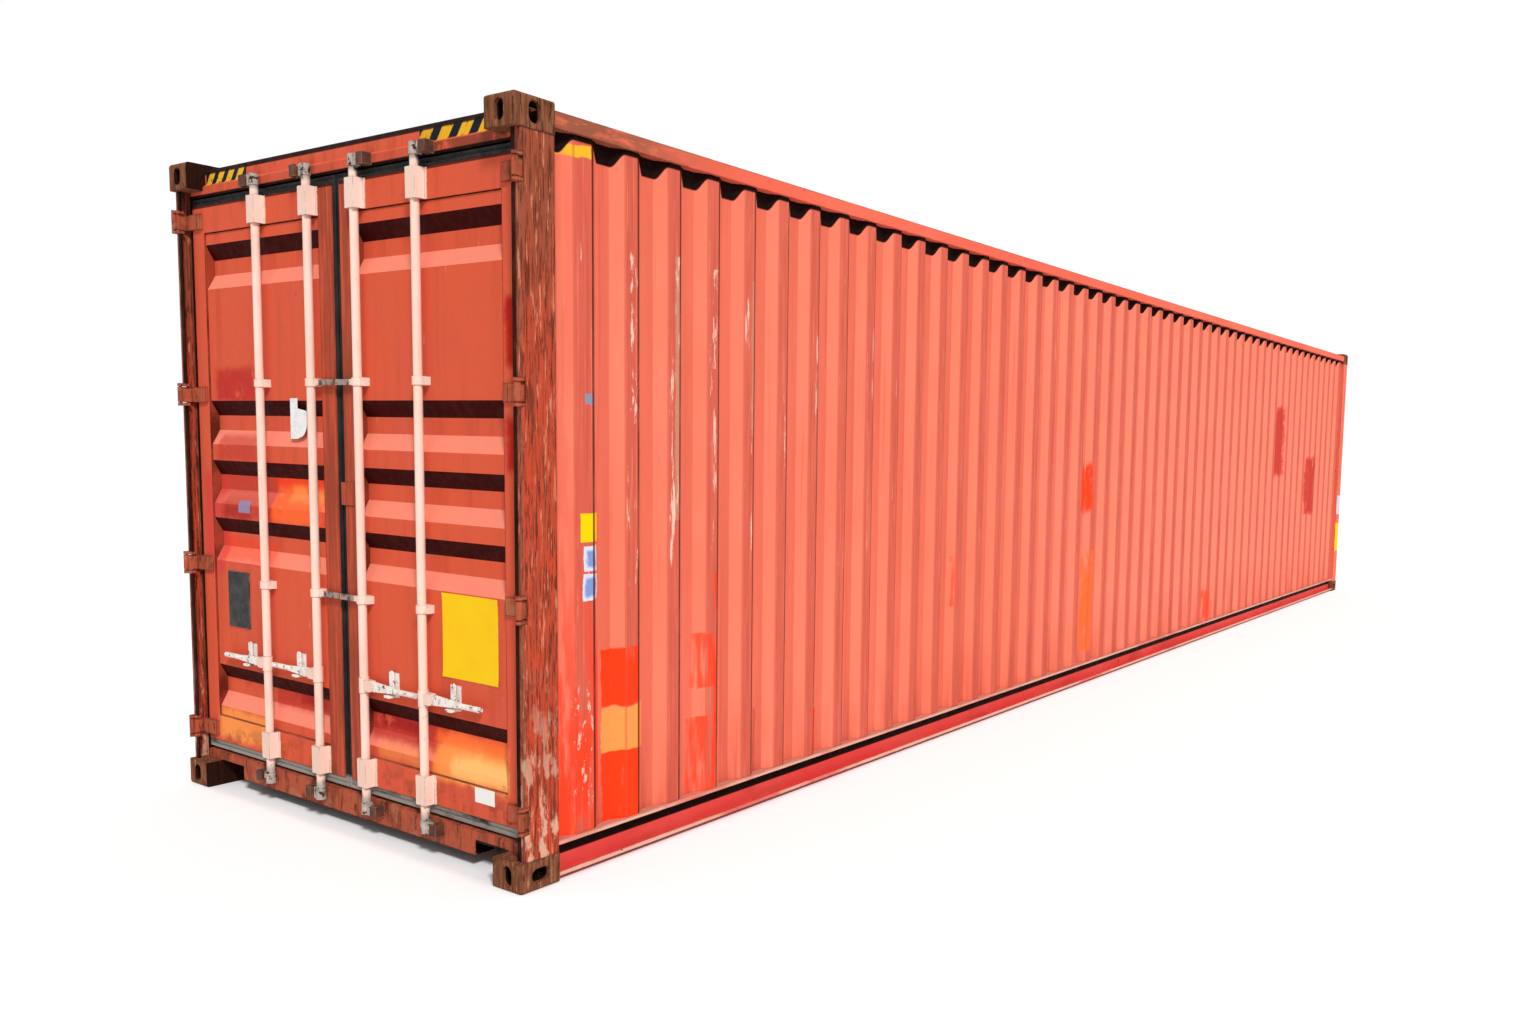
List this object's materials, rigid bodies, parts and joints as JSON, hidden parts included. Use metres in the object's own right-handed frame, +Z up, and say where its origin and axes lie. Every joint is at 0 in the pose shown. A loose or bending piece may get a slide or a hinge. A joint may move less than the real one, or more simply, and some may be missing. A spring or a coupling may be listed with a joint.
{
  "type": "shipping container",
  "caption": "Long high-cube steel freight container with corrugated walls, a boarded floor and double end doors that swing on pins and lock with turning rods.",
  "frame": {"origin": "middle of the footprint, on the ground under the corner fittings", "axes": "+X runs from the door end to the closed front end, +Y to the left of someone who faces the doors, +Z up"},
  "size_m": [12.192, 2.438, 2.896],
  "materials": {
    "wall_paint": "weathered matt",
    "frame_paint": "weathered matt",
    "door_paint": "weathered matt",
    "gear_paint": "weathered matt",
    "gear_steel": "worn",
    "fitting_iron": "rusted",
    "seal_rubber": "matt",
    "floor_wood": "worn",
    "plate_metal": "dull"
  },
  "bodies": {
    "container": {"top_corner_fittings": "fitting_iron", "bottom_corner_fittings": "fitting_iron", "rear_right_post": "frame_paint", "rear_left_post": "frame_paint", "front_right_post": "frame_paint", "front_left_post": "frame_paint", "right_top_rail": "frame_paint", "left_top_rail": "frame_paint", "right_bottom_rail": "frame_paint", "left_bottom_rail": "frame_paint", "door_header": "frame_paint", "door_sill": "frame_paint", "front_header": "frame_paint", "front_sill": "frame_paint", "right_wall": "wall_paint", "left_wall": "wall_paint", "front_wall": "wall_paint", "roof": "wall_paint", "crossmembers": "frame_paint", "gooseneck_tunnel": "frame_paint", "floor": "floor_wood", "cam_keepers": "gear_steel", "right_hinge_lugs": "frame_paint", "left_hinge_lugs": "frame_paint"},
    "right_door": {"right_door_frame": "door_paint", "right_door_panel": "door_paint", "right_door_seal": "seal_rubber", "right_hinge_blades": "door_paint", "right_rod_brackets": "gear_paint", "right_handle_catches": "gear_paint"},
    "right_inner_rod": {"right_inner_lock_rod": "gear_paint"},
    "right_inner_handle": {"right_inner_handle": "gear_steel"},
    "right_outer_rod": {"right_outer_lock_rod": "gear_paint"},
    "right_outer_handle": {"right_outer_handle": "gear_steel"},
    "left_door": {"left_door_frame": "door_paint", "left_door_panel": "door_paint", "left_door_seal": "seal_rubber", "left_hinge_blades": "door_paint", "left_rod_brackets": "gear_paint", "left_handle_catches": "gear_paint", "data_plate": "plate_metal"},
    "left_inner_rod": {"left_inner_lock_rod": "gear_paint"},
    "left_inner_handle": {"left_inner_handle": "gear_steel"},
    "left_outer_rod": {"left_outer_lock_rod": "gear_paint"},
    "left_outer_handle": {"left_outer_handle": "gear_steel"}
  },
  "joints": [
    {"name": "right_door_swing", "type": "hinge", "parent": "container", "child": "right_door", "pos_m": [-6.082, -1.205, 1.45], "axis": [0, 0, 1], "range_deg": [0, 270]},
    {"name": "right_inner_rod_turn", "type": "hinge", "parent": "right_door", "child": "right_inner_rod", "pos_m": [-6.049, -0.17025, 1.45], "axis": [0, 0, 1], "range_deg": [-100, 0]},
    {"name": "right_inner_handle_lift", "type": "hinge", "parent": "right_inner_rod", "child": "right_inner_handle", "pos_m": [-6.049, -0.22225, 0.65], "axis": [-1, 0, 0], "range_deg": [0, 15]},
    {"name": "right_outer_rod_turn", "type": "hinge", "parent": "right_door", "child": "right_outer_rod", "pos_m": [-6.049, -0.57444, 1.45], "axis": [0, 0, 1], "range_deg": [-100, 0]},
    {"name": "right_outer_handle_lift", "type": "hinge", "parent": "right_outer_rod", "child": "right_outer_handle", "pos_m": [-6.049, -0.62644, 0.65], "axis": [-1, 0, 0], "range_deg": [0, 15]},
    {"name": "left_door_swing", "type": "hinge", "parent": "container", "child": "left_door", "pos_m": [-6.082, 1.205, 1.45], "axis": [0, 0, -1], "range_deg": [0, 270]},
    {"name": "left_inner_rod_turn", "type": "hinge", "parent": "left_door", "child": "left_inner_rod", "pos_m": [-6.049, 0.17025, 1.45], "axis": [0, 0, -1], "range_deg": [-100, 0]},
    {"name": "left_inner_handle_lift", "type": "hinge", "parent": "left_inner_rod", "child": "left_inner_handle", "pos_m": [-6.049, 0.22225, 0.65], "axis": [1, 0, 0], "range_deg": [0, 15]},
    {"name": "left_outer_rod_turn", "type": "hinge", "parent": "left_door", "child": "left_outer_rod", "pos_m": [-6.049, 0.57444, 1.45], "axis": [0, 0, -1], "range_deg": [-100, 0]},
    {"name": "left_outer_handle_lift", "type": "hinge", "parent": "left_outer_rod", "child": "left_outer_handle", "pos_m": [-6.049, 0.62644, 0.65], "axis": [1, 0, 0], "range_deg": [0, 15]}
  ]
}
